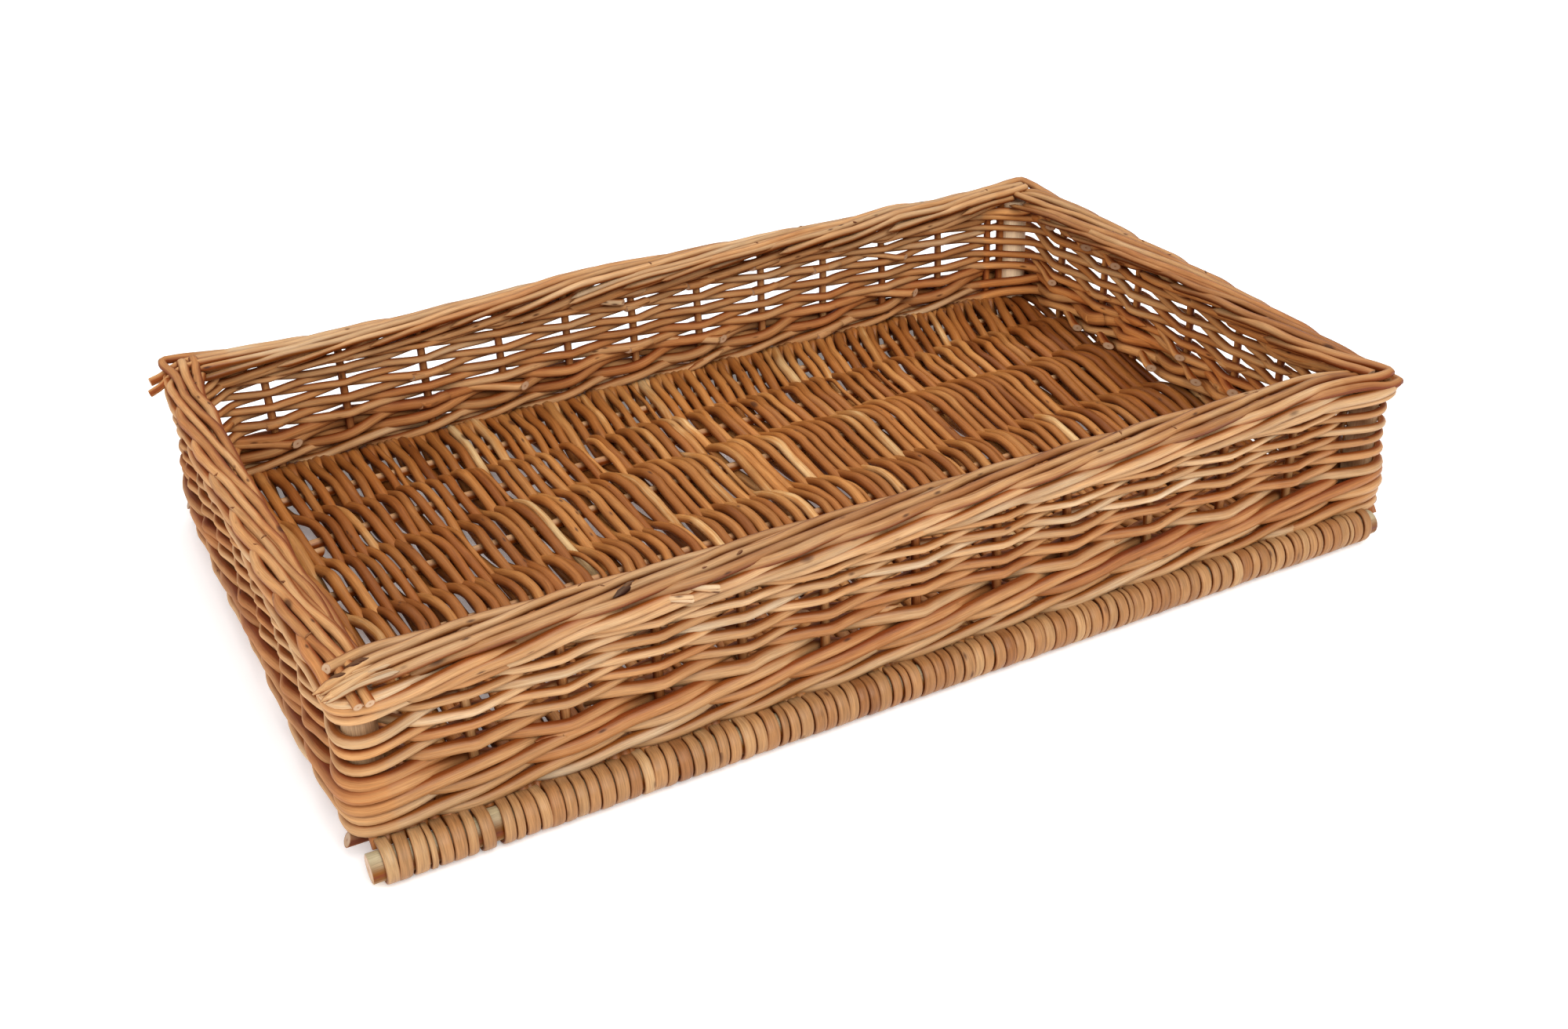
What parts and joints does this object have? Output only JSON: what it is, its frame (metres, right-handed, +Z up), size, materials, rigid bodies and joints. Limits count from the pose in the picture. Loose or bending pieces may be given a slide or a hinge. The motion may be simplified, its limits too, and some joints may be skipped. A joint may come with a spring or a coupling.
{
  "type": "display basket",
  "caption": "Low rectangular woven willow display basket with an open top, a plaited border, corner posts and a rod base wrapped round thick edge sticks.",
  "frame": {"origin": "On the surface the basket stands on, under the middle of the basket", "axes": "+X along the basket's length, +Y from its front to its back, +Z up out of its open top"},
  "size_m": [0.6, 0.41, 0.104],
  "materials": {
    "edge_stick": "matte, bare barked stick, greyish green-beige",
    "base_stick": "matte, pale peeled stick",
    "corner_post": "matte, thick peeled stick, greyish beige",
    "base_weave": "satin, buff willow rods, orange-brown",
    "siding": "satin, buff willow rods, light orange-brown",
    "wale": "satin, stouter buff willow rods",
    "border": "satin, plaited buff willow rods"
  },
  "bodies": {
    "root": {"back_foot_wale_1": "wale", "back_foot_wale_2": "wale", "back_siding_row_1": "siding", "back_siding_row_2": "siding", "back_siding_row_3": "siding", "back_siding_row_4": "siding", "back_siding_row_5": "siding", "back_stakes_and_border": "border", "back_top_wale": "wale", "base_edge_stick_back": "edge_stick", "base_edge_stick_front": "edge_stick", "base_side_stick_back": "base_stick", "base_side_stick_front": "base_stick", "base_stick_1": "base_stick", "base_stick_2": "base_stick", "base_stick_3": "base_stick", "base_stick_4": "base_stick", "base_stick_5": "base_stick", "base_stick_6": "base_stick", "base_weave_1": "base_weave", "base_weave_2": "base_weave", "base_weave_3": "base_weave", "base_weave_4": "base_weave", "base_weave_5": "base_weave", "corner_post_back_left": "corner_post", "corner_post_back_right": "corner_post", "corner_post_front_left": "corner_post", "corner_post_front_right": "corner_post", "front_foot_wale_1": "wale", "front_foot_wale_2": "wale", "front_siding_row_1": "siding", "front_siding_row_2": "siding", "front_siding_row_3": "siding", "front_siding_row_4": "siding", "front_siding_row_5": "siding", "front_stakes_and_border": "border", "front_top_wale": "wale", "left_foot_wale_1": "wale", "left_foot_wale_2": "wale", "left_siding_row_1": "siding", "left_siding_row_2": "siding", "left_siding_row_3": "siding", "left_siding_row_4": "siding", "left_siding_row_5": "siding", "left_stakes_and_border": "border", "left_top_wale": "wale", "right_foot_wale_1": "wale", "right_foot_wale_2": "wale", "right_siding_row_1": "siding", "right_siding_row_2": "siding", "right_siding_row_3": "siding", "right_siding_row_4": "siding", "right_siding_row_5": "siding", "right_stakes_and_border": "border", "right_top_wale": "wale"}
  },
  "joints": []
}
